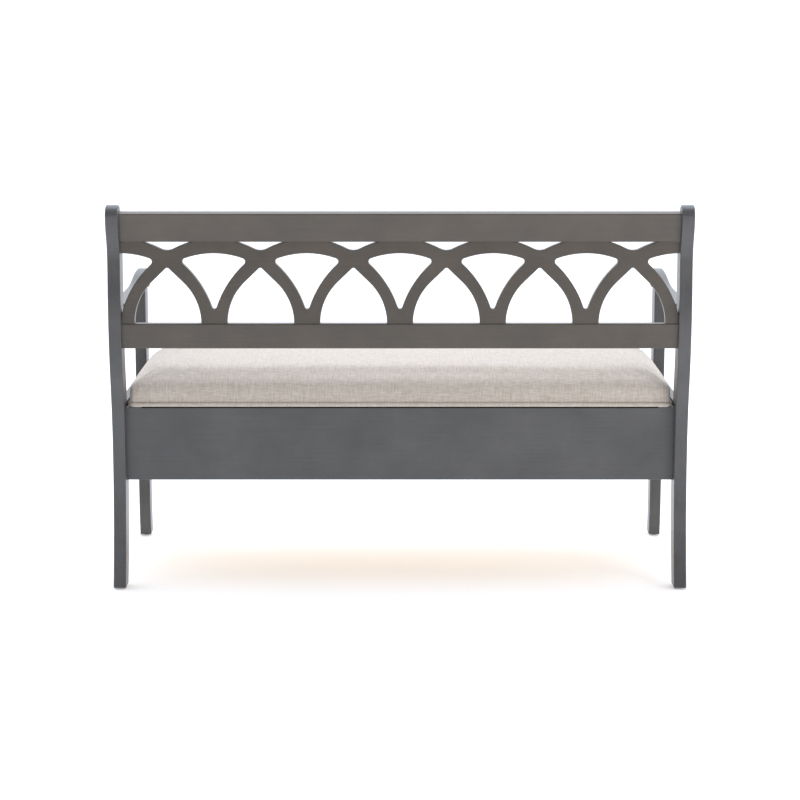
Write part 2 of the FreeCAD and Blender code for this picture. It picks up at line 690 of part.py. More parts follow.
def cross_panel(label, inner, rear, front, level_start):
    """A panel across the bench, housed in the uprights, with its cleat's pilot holes."""
    body = new_body(label)
    half = f"({inner} + housing)"
    pad(body, "YZ_Plane", [cross_panel_outline(rear, front)], f"-{half}", f"2*{half}")
    base = number("panel_base")
    ease(body, "panel_easing",
         lambda edge: lies_along(edge, 0) and edge.BoundBox.ZMax < base + 0.1)
    holes = [(place, CLEAT_LEVEL, "screw_shank/2") for place in CROSS_CLEAT_SCREWS]
    pocket(body, "XZ_Plane", holes, level_start, "screw_grip")
    return body


def rear_panel():
    body = cross_panel("rear_panel", POST_INNER, "rear_panel_back", REAR_INSIDE,
                       f"{REAR_INSIDE} - screw_grip - depth/2 + top_curl")
    pocket(body, "XY_Plane", hinge_holes("hinge_shank/2"), "panel_top - hinge_screw_depth",
           "hinge_screw_depth")


def front_panel():
    cross_panel("front_panel", LEG_INNER, PANEL_INSIDE, PANEL_FRONT,
                f"{PANEL_INSIDE} - depth/2 + top_curl")


def side_panel(side, label):
    body = new_body(label)
    pad(body, "YZ_Plane", [side_panel_outline()],
        side_start(side, SIDE_INNER, "panel_thickness"), "panel_thickness")
    base = number("panel_base")
    ease(body, "panel_easing",
         lambda edge: lies_along(edge, 1) and edge.BoundBox.ZMax < base + 0.1)
    holes = [(place, CLEAT_LEVEL, "screw_shank/2") for place in SIDE_CLEAT_SCREWS]
    holes.append((forward(STAY_PIN[0]), STAY_PIN[1], "screw_shank/2"))
    pocket(body, "YZ_Plane", holes, side_start(side, SIDE_INNER, "screw_grip"), "screw_grip")


def storage_floor():
    """The box's floor, notched round the four uprights."""
    body = new_body("storage_floor")
    half = f"({SIDE_INNER} - floor_gap/2)"
    rear, front = forward(f"{REAR_INSIDE} + floor_gap/2"), forward(f"{PANEL_INSIDE} - floor_gap/2")
    post_x, leg_x = f"({POST_INNER} - floor_gap)", f"({LEG_INNER} - floor_gap)"
    post_y = forward("hollow_forward + hollow_depth + floor_gap")
    leg_y = forward(f"{LEG_BACK} - floor_gap")
    outline = polygon((f"-{post_x}", rear), (f"-{post_x}", post_y), (f"-{half}", post_y),
                      (f"-{half}", leg_y), (f"-{leg_x}", leg_y), (f"-{leg_x}", front),
                      (leg_x, front), (leg_x, leg_y), (half, leg_y), (half, post_y),
                      (post_x, post_y), (post_x, rear))
    pad(body, "XY_Plane", [outline], FLOOR_BASE, "floor_thickness")


def cross_cleat(label, rear, front, level_start, head_start):
    body = new_body(label)
    half = f"({POST_INNER} - cleat_size/2)"
    pad(body, "YZ_Plane", [rectangle(forward(front), forward(rear), CLEAT_BASE, FLOOR_BASE)],
        f"-{half}", f"2*{half}")
    through = [(place, CLEAT_LEVEL, "screw_shank/2") for place in CROSS_CLEAT_SCREWS]
    pocket(body, "XZ_Plane", through, level_start, "cleat_size")
    heads = [(place, CLEAT_LEVEL, "screw_head/2") for place in CROSS_CLEAT_SCREWS]
    pocket(body, "XZ_Plane", heads, head_start, "screw_head_height")


def side_cleat(side, label):
    body = new_body(label)
    rear = f"max({REAR_INSIDE} + cleat_size; hollow_forward + hollow_depth) + cleat_end_gap"
    front = f"min({PANEL_INSIDE} - cleat_size; {LEG_BACK}) - cleat_end_gap"
    pad(body, "YZ_Plane", [rectangle(forward(front), forward(rear), CLEAT_BASE, FLOOR_BASE)],
        side_start(side, f"{SIDE_INNER} - cleat_size", "cleat_size"), "cleat_size")
    through = [(place, CLEAT_LEVEL, "screw_shank/2") for place in SIDE_CLEAT_SCREWS]
    pocket(body, "YZ_Plane", through,
           side_start(side, f"{SIDE_INNER} - cleat_size", "cleat_size"), "cleat_size")
    heads = [(place, CLEAT_LEVEL, "screw_head/2") for place in SIDE_CLEAT_SCREWS]
    pocket(body, "YZ_Plane", heads,
           side_start(side, f"{SIDE_INNER} - cleat_size", "screw_head_height"),
           "screw_head_height")


def cleat_screws():
    """Every cleat screw, heads sunk in the cleats and points in the panels."""
    screws = []
    length = "cleat_size - screw_head_height + screw_grip"
    sizes = ("screw_head", "screw_head_height", "screw_shank", length)
    for i, place in enumerate(CROSS_CLEAT_SCREWS):
        rear = (place, forward(f"{REAR_INSIDE} + cleat_size"), CLEAT_LEVEL)
        front = (place, forward(f"{PANEL_INSIDE} - cleat_size"), CLEAT_LEVEL)
        screws.append(screw(f"rear_cleat_screw_{i}", rear, (0, 1, 0), *sizes))
        screws.append(screw(f"front_cleat_screw_{i}", front, (0, -1, 0), *sizes))
    for side, name in SIDES:
        for i, place in enumerate(SIDE_CLEAT_SCREWS):
            start = (f"{side}*({SIDE_INNER} - cleat_size)", place, CLEAT_LEVEL)
            screws.append(screw(f"side_cleat_screw_{name}_{i}", start, (side, 0, 0), *sizes))
    group("cleat_screws", screws)


def foot_glides():
    """A low glide under each foot."""
    rear = forward("foot_depth/2")
    front = forward(f"{LEG_BACK} + toe_forward + toe_depth/2")
    glides = []
    for side, name in SIDES:
        for place, inset, foot in ((rear, "post_thickness", "rear"),
                                   (front, "leg_thickness", "front")):
            start = (f"{side}*(width/2 - {inset}/2)", place, "0")
            glides.append(cylinder(f"glide_{foot}_{name}", "glide_diameter/2", "glide_height",
                                   start, (0, 0, 1)))
    group("foot_glides", glides)


def lid_bumpers():
    """Soft discs on the front panel that the closed lid rests on."""
    line = forward(f"({PANEL_FRONT} + {PANEL_INSIDE})/2")
    discs = [cylinder(f"bumper_{i}", "bumper_diameter/2", "lid_gap", (place, line, "panel_top"),
                      (0, 0, 1)) for i, place in enumerate(across(3, "bumper_pitch"))]
    group("lid_bumpers", discs)


# ---------------------------------------------------------------- lid, cushion and welt

BOARD_INSET = "(welt_diameter/2 + welt_gap)"
BRACKET_SCREWS = [forward(f"{STAY_PIVOT[0]} + ({place})") for place in across(2, "bracket_screw_pitch")]
BRACKET_LINE = f"({STAY_FACE} - bracket_width/2 - bracket_screw_set)"


def lid_plan(inset):
    """The lid's plan, shrunk by inset from the welt's centre line."""
    return rounded_plan(f"({WELT_HALF} - {inset})", forward(f"{WELT_REAR} + {inset}"),
                        forward(f"{WELT_FRONT} - {inset}"), f"(rear_corner - {inset})",
                        f"(front_corner - {inset})")


def lid_board():
    body = new_body("lid_board")
    pad(body, "XY_Plane", [lid_plan(BOARD_INSET)], BOARD_BASE, "board_thickness")
    pocket(body, "XY_Plane", hinge_holes("hinge_shank/2"), BOARD_BASE, "hinge_screw_depth")
    holes = [(f"{side}*{BRACKET_LINE}", place, "small_shank/2")
             for side, _ in SIDES for place in BRACKET_SCREWS]
    pocket(body, "XY_Plane", holes, BOARD_BASE, "small_grip")


def seat_cushion():
    """The padded seat, resting on the board and lapping its edge above the welt."""
    body = new_body("seat_cushion")
    low = f"({WELT_HEIGHT} + welt_diameter/2 + welt_lift)"
    inset = "(cushion_inset - welt_diameter/2)"
    pad(body, "XY_Plane", [lid_plan(inset)], low, f"cushion_top - {low}")
    top = number("cushion_top")
    ease(body, "cushion_round", lambda edge: edge.BoundBox.ZMin > top - 0.1)
    pocket(body, "XY_Plane", [lid_plan(f"({BOARD_INSET} - cushion_gap)")], low,
           f"{BOARD_TOP} - {low}")


def cushion_welt():
    """The piped edge round the foot of the cushion."""
    body = new_body("cushion_welt")
    profile = new_sketch(body, "YZ_Plane",
                         [(forward(WELT_REAR), WELT_HEIGHT, "welt_diameter/2")], "0")
    spine = new_sketch(body, "XY_Plane", [lid_plan("0")], WELT_HEIGHT)
    pipe = body.newObject("PartDesign::AdditivePipe", "Pipe")
    pipe.Profile = profile
    pipe.Spine = (spine, [])
    body.Tip = pipe


# ---------------------------------------------------------------- continuous hinge

def hinge_leaf(label, level, first_knuckle, tongue_start):
    """A leaf with every other knuckle, bored for the pin, and its screw holes."""
    body = new_body(label)
    edge = f"({AXIS_FORWARD} + knuckle_diameter/2 + leaf_relief)"
    plate = rectangle(f"-{HINGE_HALF}", HINGE_HALF, forward(f"{edge} + leaf_width"),
                      forward(edge))
    pad(body, "XY_Plane", [plate], level, "leaf_thickness")
    start = f"(-{HINGE_HALF} + {first_knuckle}*knuckle_pitch + knuckle_gap/2)"
    length = "knuckle_pitch - knuckle_gap"
    ring = [(forward(AXIS_FORWARD), AXIS_HEIGHT, "knuckle_diameter/2")]
    tongue = rectangle(forward(f"{edge} + tongue_lap"), forward(f"{AXIS_FORWARD} + {tongue_start}"),
                       level, f"{level} + leaf_thickness")
    pitch, count = "2*knuckle_pitch", "knuckle_count"
    repeat(body, pad(body, "YZ_Plane", [tongue], start, length), pitch, count)
    repeat(body, pad(body, "YZ_Plane", ring, start, length), pitch, count)
    bore = [(forward(AXIS_FORWARD), AXIS_HEIGHT, "pin_diameter/2 + pin_clearance")]
    pocket(body, "YZ_Plane", bore, f"-{HINGE_HALF} - overrun", f"2*({HINGE_HALF} + overrun)")
    pocket(body, "XY_Plane", hinge_holes("hinge_head/2"), level, "leaf_thickness")


def hinge():
    hinge_leaf("hinge_leaf_box", "panel_top", 0, "box_tongue")
    hinge_leaf("hinge_leaf_lid", f"({BOARD_BASE} - leaf_thickness)", 1, "lid_tongue")
    pin = cylinder("hinge_pin", "pin_diameter/2", f"2*{HINGE_HALF}",
                   (f"-{HINGE_HALF}", forward(AXIS_FORWARD), AXIS_HEIGHT), (1, 0, 0))
    pin.Label = "hinge_pin"
    subparts.append(pin)


def hinge_screws(label, level, direction):
    sizes = ("hinge_head", "leaf_thickness", "hinge_shank", "hinge_screw_depth")
    screws = [screw(f"{label}_{i}", (place, forward(HINGE_LINE), level), direction, *sizes)
              for i, place in enumerate(HINGE_SCREWS)]
    group(label, screws)


# ---------------------------------------------------------------- slotted lid stays

def stay_pin(side, label):
    """The fixed pin: shank in the side panel, collar, journal for the slot, and head."""
    place = (forward(STAY_PIN[0]), STAY_PIN[1])
    arm_far = f"({STAY_FACE} + stay_thickness)"
    collar = f"({arm_far} + stay_side_gap)"
    journal = f"({STAY_FACE} - stay_side_gap)"
    pieces = []
    for name, start, end, radius in (
            ("head", f"({journal} - rivet_head_height)", journal, "stay_pin_head/2"),
            ("journal", journal, collar, "stay_pin_diameter/2"),
            ("collar", collar, SIDE_INNER, "stay_pin_collar/2"),
            ("shank", SIDE_INNER, f"({SIDE_INNER} + screw_grip)", "screw_shank/2")):
        pieces.append(cylinder(f"{label}_{name}", radius, f"{end} - {start}",
                               (f"{side}*{start}", *place), (side, 0, 0)))
    node = fused(label, pieces)
    node.Label = label
    subparts.append(node)


def stay_rivet(side, label):
    """The rivet that joins the stay to its bracket on the lid."""
    place = (forward(STAY_PIVOT[0]), STAY_PIVOT[1])
    inner = f"({STAY_FACE} - stay_side_gap - bracket_thickness)"
    outer = f"({STAY_FACE} + stay_thickness + stay_side_gap)"
    pieces = []
    for name, start, end, radius in (
            ("inner_head", f"({inner} - rivet_head_height)", inner, "rivet_head/2"),
            ("shaft", inner, outer, "rivet_diameter/2"),
            ("outer_head", outer, f"({outer} + rivet_head_height)", "rivet_head/2")):
        pieces.append(cylinder(f"{label}_{name}", radius, f"{end} - {start}",
                               (f"{side}*{start}", *place), (side, 0, 0)))
    node = fused(label, pieces)
    node.Label = label
    subparts.append(node)


def stay_bracket(side, label):
    """An angle under the lid: a flange screwed to the board and a drop tab for the rivet."""
    body = new_body(label)
    tab_face = f"({STAY_FACE} - stay_side_gap - bracket_thickness)"
    top = BOARD_BASE
    half, radius = "bracket_length/2", "stay_width/2"
    flange = rectangle(f"{side}*({tab_face} - bracket_width)",
                       f"{side}*({tab_face} + bracket_thickness)",
                       forward(f"{STAY_PIVOT[0]} + {half}"), forward(f"{STAY_PIVOT[0]} - {half}"))
    pad(body, "XY_Plane", [flange], f"{top} - bracket_thickness", "bracket_thickness")
    tab = Outline()
    tab.corner(forward(f"{STAY_PIVOT[0]} + {radius}"), top)
    tab.corner(forward(f"{STAY_PIVOT[0]} + {radius}"), STAY_PIVOT[1], radius, 1)
    tab.corner(forward(STAY_PIVOT[0]), f"{STAY_PIVOT[1]} - {radius}", radius, 1)
    tab.corner(forward(f"{STAY_PIVOT[0]} - {radius}"), STAY_PIVOT[1])
    tab.corner(forward(f"{STAY_PIVOT[0]} - {radius}"), top)
    start = side_start(side, tab_face, "bracket_thickness")
    pad(body, "YZ_Plane", [tab], start, "bracket_thickness")
    pocket(body, "YZ_Plane", [(forward(STAY_PIVOT[0]), STAY_PIVOT[1], "rivet_diameter/2")],
           start, "bracket_thickness")
    for radius, depth in (("small_shank/2", "bracket_thickness"),
                          ("small_head/2", "small_head_height")):
        holes = [(f"{side}*{BRACKET_LINE}", place, radius) for place in BRACKET_SCREWS]
        pocket(body, "XY_Plane", holes, f"{top} - bracket_thickness", depth)


def bracket_screws():
    sizes = ("small_head", "small_head_height", "small_shank",
             "bracket_thickness - small_head_height + small_grip")
    level = f"({BOARD_BASE} - bracket_thickness)"
    screws = []
    for side, name in SIDES:
        for i, place in enumerate(BRACKET_SCREWS):
            screws.append(screw(f"bracket_screw_{name}_{i}",
                                (f"{side}*{BRACKET_LINE}", place, level), (0, 0, 1), *sizes))
    group("bracket_screws", screws)


def capsule(high, low, radius):
    """An upright slot outline between two round ends whose centres are at high and low."""
    outline = Outline()
    outline.corner(f"-{radius}", low, radius, 1).corner("0", f"{low} - {radius}", radius, 1)
    outline.corner(radius, low).corner(radius, high, radius, 1)
    return outline.corner("0", f"{high} + {radius}", radius, 1).corner(f"-{radius}", high)


def stay_arm(side, label):
    """The slotted arm, drawn hanging from its pivot and turned to meet the fixed pin."""
    body = new_body(label)
    swing = "(stay_lid_angle - stay_fixed_angle)"
    closed = f"(2*stay_reach*sin({swing}/2))"
    opened = f"(2*stay_reach*sin(({swing} + lid_travel)/2))"
    slot_end = f"(-{opened} - stay_slot_spare)"
    start = side_start(side, STAY_FACE, "stay_thickness")
    pad(body, "YZ_Plane", [capsule("0", slot_end, "(stay_width/2)")], start, "stay_thickness")
    slot = capsule(f"(-{closed} + stay_slot_spare)", slot_end,
                   "(stay_pin_diameter/2 + stay_slot_gap)")
    pocket(body, "YZ_Plane", [slot, ("0", "0", "rivet_diameter/2 + pin_clearance")], start,
           "stay_thickness")
    body.Placement = FreeCAD.Placement(
        FreeCAD.Vector(), FreeCAD.Rotation(FreeCAD.Vector(1, 0, 0), 1))
    body.setExpression("Placement.Rotation.Angle",
                       bound("-(stay_lid_angle + stay_fixed_angle)/2"))
    body.setExpression("Placement.Base.y", bound(forward(STAY_PIVOT[0])))
    body.setExpression("Placement.Base.z", bound(STAY_PIVOT[1]))


# ---------------------------------------------------------------- assembly

for side, name in SIDES:
    rear_post(side, f"rear_post_{name}")
    front_leg(side, f"front_leg_{name}")
    arm(side, f"arm_{name}")
    side_panel(side, f"side_panel_{name}")
    side_cleat(side, f"floor_cleat_{name}")
    stay_pin(side, f"stay_pin_{name}")
    stay_rivet(side, f"stay_rivet_{name}")
    stay_bracket(side, f"stay_bracket_{name}")
    stay_arm(side, f"stay_arm_{name}")

top_rail = cross_rail("top_rail", TOP_RAIL, "rail_thickness*tan(top_rail_lean)")
pocket(top_rail, "XY_Plane", dowel_holes(), TOP_RAIL_BASE, "dowel_bury")
low_rail = cross_rail("lower_back_rail", LOW_RAIL, "0")
pocket(low_rail, "XY_Plane", dowel_holes(), f"{LOW_RAIL_TOP} - dowel_bury", "dowel_bury")
back_lattice()
group("lattice_dowels", [
    cylinder(f"dowel_{edge}_{i}", "dowel_diameter/2", "2*dowel_bury",
             (place, DOWEL_LINE, f"{level} - dowel_bury"), (0, 0, 1))
    for edge, level in (("top", TOP_RAIL_BASE), ("low", LOW_RAIL_TOP))
    for i, place in enumerate(dowel_places())])

rear_panel()
front_panel()
storage_floor()
cross_cleat("floor_cleat_rear", REAR_INSIDE, f"({REAR_INSIDE} + cleat_size)",
            f"{REAR_INSIDE} - depth/2 + top_curl",
            f"{REAR_INSIDE} + cleat_size - screw_head_height - depth/2 + top_curl")
cross_cleat("floor_cleat_front", f"({PANEL_INSIDE} - cleat_size)", PANEL_INSIDE,
            f"{PANEL_INSIDE} - cleat_size - depth/2 + top_curl",
            f"{PANEL_INSIDE} - cleat_size - depth/2 + top_curl")
plank("floor_batten", "-batten_width/2", "batten_width/2", f"{REAR_INSIDE} + cleat_size",
      f"{PANEL_INSIDE} - cleat_size", CLEAT_BASE, FLOOR_BASE)
cleat_screws()
foot_glides()
lid_bumpers()

lid_board()
seat_cushion()
cushion_welt()
hinge()
hinge_screws("hinge_screws_box", "(panel_top + leaf_thickness)", (0, 0, -1))
hinge_screws("hinge_screws_lid", f"({BOARD_BASE} - leaf_thickness)", (0, 0, 1))
bracket_screws()

doc.recompute()
doc.removeObject(probe.Name)
doc.recompute()

# ---------------------------------------------------------------- checks and files

for thing in doc.Objects:
    if {"Invalid", "Error"} & set(thing.State):
        raise RuntimeError(f"{thing.Label}: {thing.State}")

os.makedirs("parts", exist_ok=True)
for node in subparts:
    shape = node.Shape
    if shape.isNull() or not shape.isValid():
        raise RuntimeError(f"{node.Label}: the shape is not valid")
    print(node.Label, len(shape.Solids), round(shape.Volume / 1000, 2), "cm3")
for node in subparts:
    node.Shape.exportStep(os.path.join("parts", f"{node.Label}.step"))
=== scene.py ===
"""Finishes, upholstery and studio for a painted storage bench, built round its fixed CAD frame."""

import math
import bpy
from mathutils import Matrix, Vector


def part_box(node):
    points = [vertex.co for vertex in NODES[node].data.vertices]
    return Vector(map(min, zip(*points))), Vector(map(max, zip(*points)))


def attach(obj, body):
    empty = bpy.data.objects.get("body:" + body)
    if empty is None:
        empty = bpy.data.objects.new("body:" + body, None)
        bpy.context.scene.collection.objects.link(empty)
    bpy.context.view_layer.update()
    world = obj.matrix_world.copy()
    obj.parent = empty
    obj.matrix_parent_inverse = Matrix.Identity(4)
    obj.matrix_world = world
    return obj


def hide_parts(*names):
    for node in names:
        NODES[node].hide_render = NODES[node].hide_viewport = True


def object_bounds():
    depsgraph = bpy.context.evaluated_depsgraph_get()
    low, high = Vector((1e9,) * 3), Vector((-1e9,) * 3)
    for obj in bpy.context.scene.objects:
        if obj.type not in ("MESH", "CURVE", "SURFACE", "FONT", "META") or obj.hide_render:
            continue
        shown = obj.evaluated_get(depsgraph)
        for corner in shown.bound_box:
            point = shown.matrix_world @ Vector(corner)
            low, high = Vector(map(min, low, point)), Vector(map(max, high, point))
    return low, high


bl_info = {
    "name": "Painted storage bench",
    "version": (1, 0, 0),
    "blender": (4, 5, 0),
    "location": "3D Viewport > Sidebar > Bench",
    "description": "Paint, linen upholstery and studio for a storage bench with a lift-up seat",
    "category": "Object",
}

import bmesh
import bpy
from mathutils import Vector

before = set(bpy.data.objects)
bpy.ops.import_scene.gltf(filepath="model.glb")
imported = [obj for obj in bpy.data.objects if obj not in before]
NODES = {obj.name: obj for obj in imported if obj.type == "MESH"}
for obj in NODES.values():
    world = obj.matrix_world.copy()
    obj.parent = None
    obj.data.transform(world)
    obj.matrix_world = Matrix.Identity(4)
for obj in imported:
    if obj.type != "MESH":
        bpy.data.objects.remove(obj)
CAD_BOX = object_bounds()
MM = 0.001
TOUCHING = 1e-6

# How many features of each pattern there are in a metre.
PAINT_CLOUDS = 9.0
PINE_RINGS = 45.0
PINE_FIBRES = 700.0
STEEL_CLOUDS = 160.0

# The cushion's cover: the gaps it leaves at the sides, how far it is tucked down past the pad, how
# far the crown may stand above the CAD's cushion, its corners in plan, and the height of the foot
# that is tacked to the lid while the cover swells.
COVER_GAP = Vector((0.6, 0.8, 0.0)) * MM
COVER_TUCK = Vector((0, 0, 2.2 * MM))
CROWN_ABOVE = 4 * MM
COVER_REAR_CORNER = 12.5 * MM
COVER_FRONT_CORNER = 24.5 * MM
COVER_HELD = 3 * MM
CLOTH_FRAMES = 20

# The welt's extra radius over the CAD's cord, and its corners in plan.
WELT_FULLER = 1.1 * MM
WELT_REAR_CORNER = 16 * MM
WELT_FRONT_CORNER = 28 * MM

# Lights as place, target and diameter in metres, and the rear feet's setback from the CAD box.
OVERHEAD_LIGHT = ((0, -0.6, 3.2), (0, 0, 0.4), 3.0)
SIDE_LIGHT = ((-2.4, 1.9, 1.3), (0, 0, 0.5), 1.2)
REAR_FEET_INSET = 11 * MM
FLOOR_SIZE = 40

PAINTED = {
    ("posts", "Z"): ["rear_post_left", "rear_post_right", "front_leg_left", "front_leg_right"],
    ("arms", "Y"): ["arm_left", "arm_right"],
    ("rails", "X"): ["top_rail", "lower_back_rail", "back_lattice"],
    ("box", "X"): ["rear_panel", "front_panel"],
    ("box_sides", "Y"): ["side_panel_left", "side_panel_right"],
}
BARE = {
    "X": ["storage_floor", "floor_cleat_rear", "floor_cleat_front", "lid_board"],
    "Y": ["floor_cleat_left", "floor_cleat_right", "floor_batten"],
    "Z": ["lattice_dowels"],
}
HINGE = ["hinge_leaf_box", "hinge_leaf_lid", "hinge_pin", "hinge_screws_box",
         "hinge_screws_lid"]
STEEL = ["cleat_screws", "bracket_screws", "stay_pin_left", "stay_pin_right",
         "stay_rivet_left", "stay_rivet_right", "stay_bracket_left", "stay_bracket_right",
         "stay_arm_left", "stay_arm_right"]


# ---------------------------------------------------------------- sizes and colours

class FinishSettings(bpy.types.PropertyGroup):
    """Colours and pattern sizes of the bench's finishes."""

    # The rails and lattice are given the warmer grey, and the posts, legs, arms and box the cooler
    # grey.
    warm_paint: bpy.props.StringProperty(
        name="Rail paint", description="Warm pewter grey of the rails, as sRGB hex",
        default="#5B5146")
    cool_paint: bpy.props.StringProperty(
        name="Frame paint", description="Cooler pewter grey of the posts, legs and box",
        default="#595756")
    glaze_depth: bpy.props.FloatProperty(
        name="Glaze depth", description="How much the wiped glaze darkens the paint",
        default=0.2, min=0.0, max=1.0)
    brush_width: bpy.props.FloatProperty(
        name="Brush mark", description="Width of a brush mark in the glaze",
        default=2.5 * MM, unit="LENGTH")
    linen: bpy.props.StringProperty(
        name="Linen", description="Oatmeal linen, as sRGB hex", default="#DDD2C6")
    linen_dark: bpy.props.StringProperty(
        name="Linen shade", description="Darker threads of the linen", default="#B7A999")
    thread: bpy.props.FloatProperty(
        name="Thread spacing", description="Centre to centre of the linen's threads",
        default=0.9 * MM, unit="LENGTH")
    slub: bpy.props.FloatProperty(
        name="Slub length", description="Length of a thick place in a thread",
        default=20 * MM, unit="LENGTH")


class CushionSettings(bpy.types.PropertyGroup):
    """Shape of the upholstered seat."""

    cell: bpy.props.FloatProperty(
        name="Mesh cell", description="Size of the cushion mesh's cells",
        default=6 * MM, unit="LENGTH")
    border: bpy.props.FloatProperty(
        name="Border", description="Height of the upright sides below the dome",
        default=29 * MM, unit="LENGTH")
    dome: bpy.props.FloatProperty(
        name="Dome", description="How far in from the edge the top goes on rising",
        default=105 * MM, unit="LENGTH")
    fullness: bpy.props.FloatProperty(
        name="Fullness", description="Power of the dome's curve; higher is squarer",
        default=2.6)
    crown: bpy.props.FloatProperty(
        name="Crown", description="How far the top may swell", default=5 * MM, unit="LENGTH")
    belly: bpy.props.FloatProperty(
        name="Belly", description="How far the sides may swell", default=1.6 * MM,
        unit="LENGTH")
    pressure: bpy.props.FloatProperty(
        name="Pressure", description="Cloth pressure that swells the cover", default=4.0)


class StageSettings(bpy.types.PropertyGroup):
    """Camera and light."""

    lens: bpy.props.FloatProperty(name="Lens", description="Focal length in millimetres",
                                  default=85.9)
    distance: bpy.props.FloatProperty(
        name="Distance", description="From the back of the rear feet to the camera",
        default=4.125, unit="LENGTH")
    height: bpy.props.FloatProperty(
        name="Height", description="Camera above the floor", default=1.279, unit="LENGTH")
    tilt: bpy.props.FloatProperty(
        name="Tilt", description="Downward tilt of the camera", default=math.radians(8.15),
        subtype="ANGLE")
    shift: bpy.props.FloatProperty(
        name="Shift", description="Vertical lens shift", default=-0.144)
    front_light: bpy.props.FloatProperty(
        name="Front light", description="Brightness of the room in front", default=1.5)
    rear_light: bpy.props.FloatProperty(
        name="Rear light", description="Brightness of the room behind", default=0.05)
    top_light: bpy.props.FloatProperty(
        name="Top light", description="Extra brightness overhead", default=0.45)
    tint: bpy.props.StringProperty(
        name="Light tint", description="Colour of the soft light", default="#F2F7FF")
    overhead: bpy.props.FloatProperty(
        name="Overhead", description="Power of the overhead panel", default=45.0, unit="POWER")
    side: bpy.props.FloatProperty(
        name="Side", description="Power of the panel beside the camera", default=15.0,
        unit="POWER")
    overhead_tint: bpy.props.StringProperty(
        name="Overhead tint", description="Colour of the overhead panel, as sRGB hex",
        default="#DCE9FF")
    floor_glow: bpy.props.FloatProperty(
        name="Floor glow", description="How brightly the acrylic floor is lit from below",
        default=0.28)


SETTINGS = {"bench_finish": FinishSettings, "bench_cushion": CushionSettings,
            "bench_stage": StageSettings}


# ---------------------------------------------------------------- helpers

def linear(hex_colour):
    """An sRGB hex colour as linear RGBA."""
    channels = [int(hex_colour[i:i + 2], 16) / 255 for i in (1, 3, 5)]
    return tuple(c / 12.92 if c <= 0.04045 else ((c + 0.055) / 1.055) ** 2.4
                 for c in channels) + (1.0,)


def new_material(name):
    """An empty material with its Principled shader."""
    material = bpy.data.materials.new(name)
    material.use_nodes = True
    return material, material.node_tree.nodes["Principled BSDF"]


def add_node(material, kind, settings=None, inputs=None):
    """Adds a node; an input's value may be a number, a tuple or another node's output."""
    node = material.node_tree.nodes.new(kind)
    for name, value in (settings or {}).items():
        setattr(node, name, value)
    for name, value in (inputs or {}).items():
        if isinstance(value, bpy.types.NodeSocket):
            material.node_tree.links.new(value, node.inputs[name])
        else:
            node.inputs[name].default_value = value
    return node


def plug(material, output, socket):
    material.node_tree.links.new(output, socket)


def select_only(obj):
    bpy.ops.object.select_all(action="DESELECT")
    obj.select_set(True)
    bpy.context.view_layer.objects.active = obj


def select_where(obj, faces=None, edges=None, verts=None):
    """In edit mode, selects just the faces, edges or vertices that pass the test."""
    mesh = bmesh.from_edit_mesh(obj.data)
    for element in (*mesh.verts, *mesh.edges, *mesh.faces):
        element.select = False
    tests = ((mesh.verts, verts, "VERT"), (mesh.edges, edges, "EDGE"), (mesh.faces, faces, "FACE"))
    for elements, test, mode in tests:
        if test:
            bpy.ops.mesh.select_mode(type=mode)
            for element in elements:
                if test(element):
                    element.select = True
    mesh.select_flush_mode()
    bmesh.update_edit_mesh(obj.data)


def apply_modifiers(obj):
    select_only(obj)
    for modifier in list(obj.modifiers):
        bpy.ops.object.modifier_apply(modifier=modifier.name)


def block(name, low, high):
    """A box primitive at its size and place, its object left at the origin."""
    low, high = Vector(low), Vector(high)
    bpy.ops.object.select_all(action="DESELECT")
    bpy.ops.mesh.primitive_cube_add(size=1, location=(low + high) / 2)
    obj = bpy.context.object
    obj.name = name
    obj.scale = high - low
    bpy.ops.object.transform_apply(location=True, rotation=True, scale=True)
    return obj


def put_material(obj, material):
    """Gives every slot of the object one material."""
    if not obj.material_slots:
        obj.data.materials.append(material)
    for slot in obj.material_slots:
        slot.material = material


# ---------------------------------------------------------------- materials

